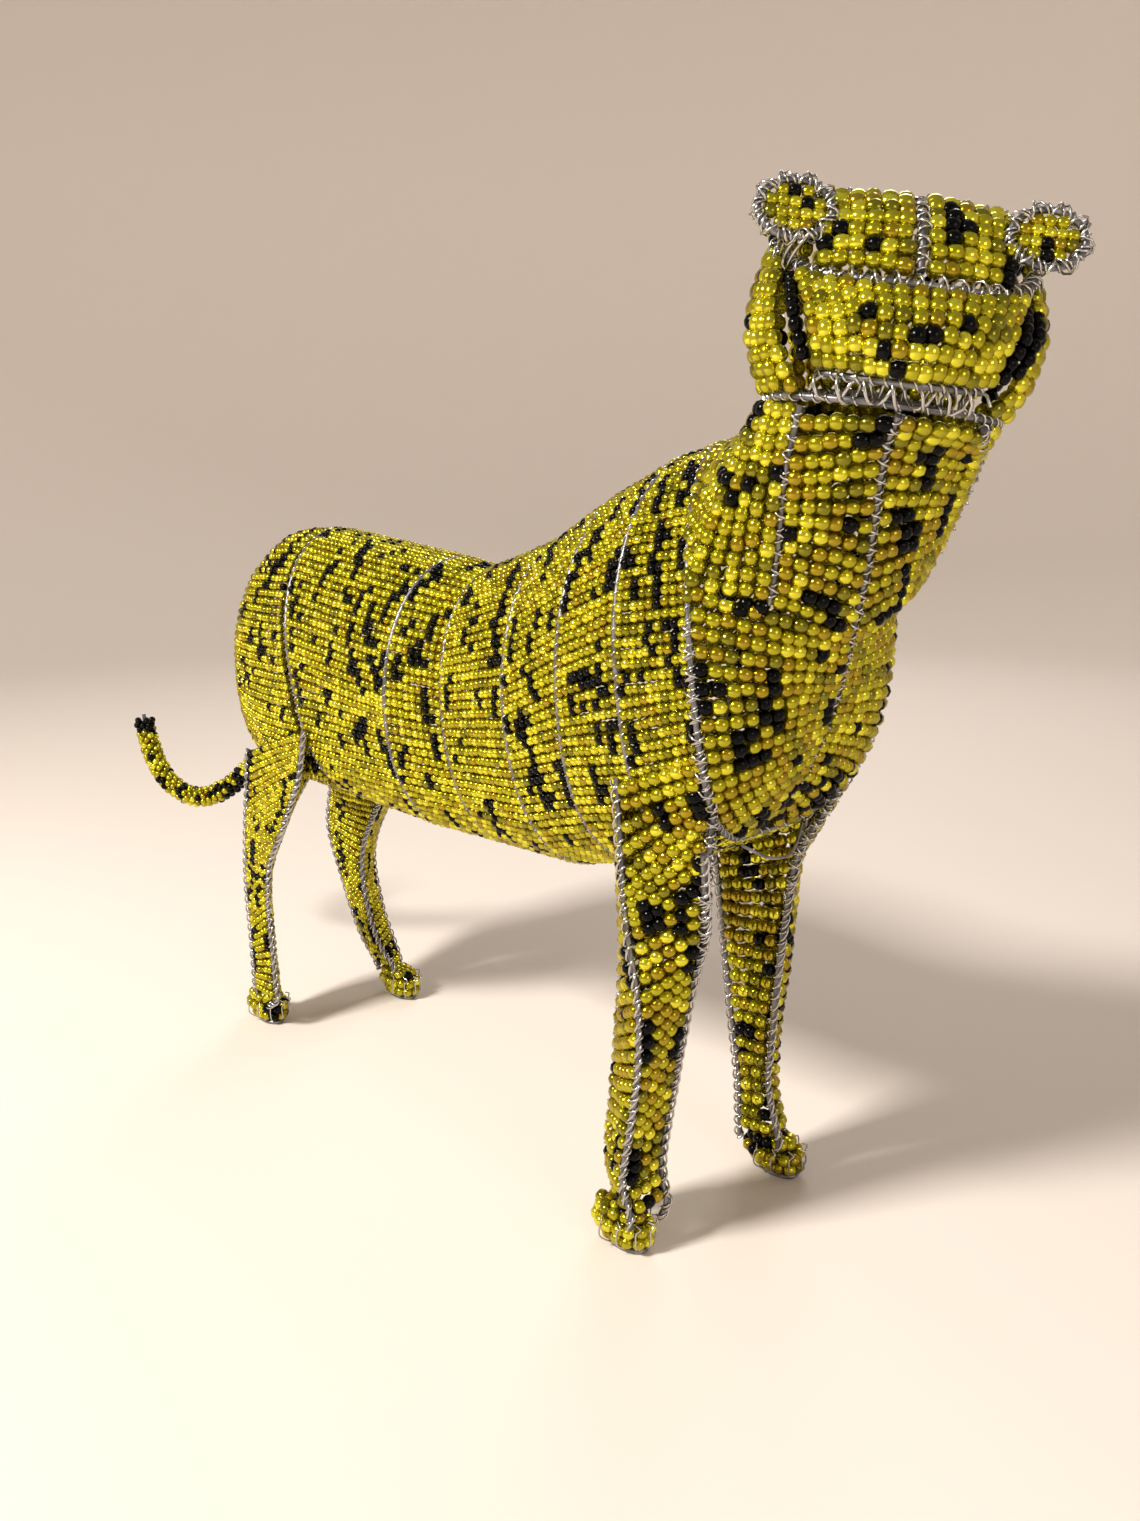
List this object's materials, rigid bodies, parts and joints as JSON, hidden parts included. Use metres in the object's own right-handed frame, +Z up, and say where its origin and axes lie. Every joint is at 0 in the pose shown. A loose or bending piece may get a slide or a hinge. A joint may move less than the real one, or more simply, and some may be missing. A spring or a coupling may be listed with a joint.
{
  "type": "beaded wire animal figure",
  "caption": "Standing big cat figure of glass beads threaded on thin wire between bent frame wires, head turned to its right, four paws on the ground.",
  "frame": {"origin": "on the ground, under the middle of the figure's bounding box", "axes": "+Z up, the body lies along Y with the head end at -Y and the tail at +Y, the animal's left is +X"},
  "size_m": [0.082, 0.4138, 0.2774],
  "materials": {
    "yellow_beads": "clear yellow with a silver lining",
    "black_beads": "opaque, glossy",
    "frame_wire": "dull galvanised"
  },
  "bodies": {
    "root": {"haunch_hoop": "frame_wire", "flank_hoop": "frame_wire", "waist_hoop": "frame_wire", "belly_hoop": "frame_wire", "rib_hoop": "frame_wire", "chest_hoop": "frame_wire", "shoulder_hoop": "frame_wire", "spine_wire": "frame_wire", "belly_wire": "frame_wire", "neck_side_wire_right": "frame_wire", "neck_side_wire_left": "frame_wire", "throat_wire": "frame_wire", "jaw_hoop": "frame_wire", "crown_wire": "frame_wire", "brow_wire": "frame_wire", "mouth_wire": "frame_wire", "face_centre_wire": "frame_wire", "ear_loop_right": "frame_wire", "ear_loop_left": "frame_wire", "tail_core_wire": "frame_wire", "front_right_leg_wires": "frame_wire", "front_left_leg_wires": "frame_wire", "rear_right_leg_wires": "frame_wire", "rear_left_leg_wires": "frame_wire", "front_right_sole_ring": "frame_wire", "front_left_sole_ring": "frame_wire", "rear_right_sole_ring": "frame_wire", "rear_left_sole_ring": "frame_wire", "rump_beadwork": "yellow_beads", "haunch_beadwork": "yellow_beads", "flank_beadwork": "yellow_beads", "waist_beadwork": "yellow_beads", "belly_beadwork": "yellow_beads", "rib_beadwork": "yellow_beads", "shoulder_beadwork": "yellow_beads", "chest_beadwork_right": "yellow_beads", "chest_beadwork_left": "yellow_beads", "throat_beadwork_right": "yellow_beads", "throat_beadwork_left": "yellow_beads", "neck_beadwork_right": "yellow_beads", "neck_beadwork_left": "yellow_beads", "forehead_beadwork": "yellow_beads", "muzzle_beadwork": "yellow_beads", "cheek_beadwork_right": "yellow_beads", "cheek_beadwork_left": "yellow_beads", "head_back_beadwork": "yellow_beads", "ear_beadwork_right": "yellow_beads", "ear_beadwork_left": "yellow_beads", "tear_stripe_right": "black_beads", "tear_stripe_left": "black_beads", "loose_thread_wire": "frame_wire", "front_right_leg_beadwork": "yellow_beads", "front_left_leg_beadwork": "yellow_beads", "rear_right_leg_beadwork": "yellow_beads", "rear_left_leg_beadwork": "yellow_beads", "front_right_paw_beadwork": "yellow_beads", "front_left_paw_beadwork": "yellow_beads", "rear_right_paw_beadwork": "yellow_beads", "rear_left_paw_beadwork": "yellow_beads", "tail_beadwork": "yellow_beads"}
  },
  "joints": []
}
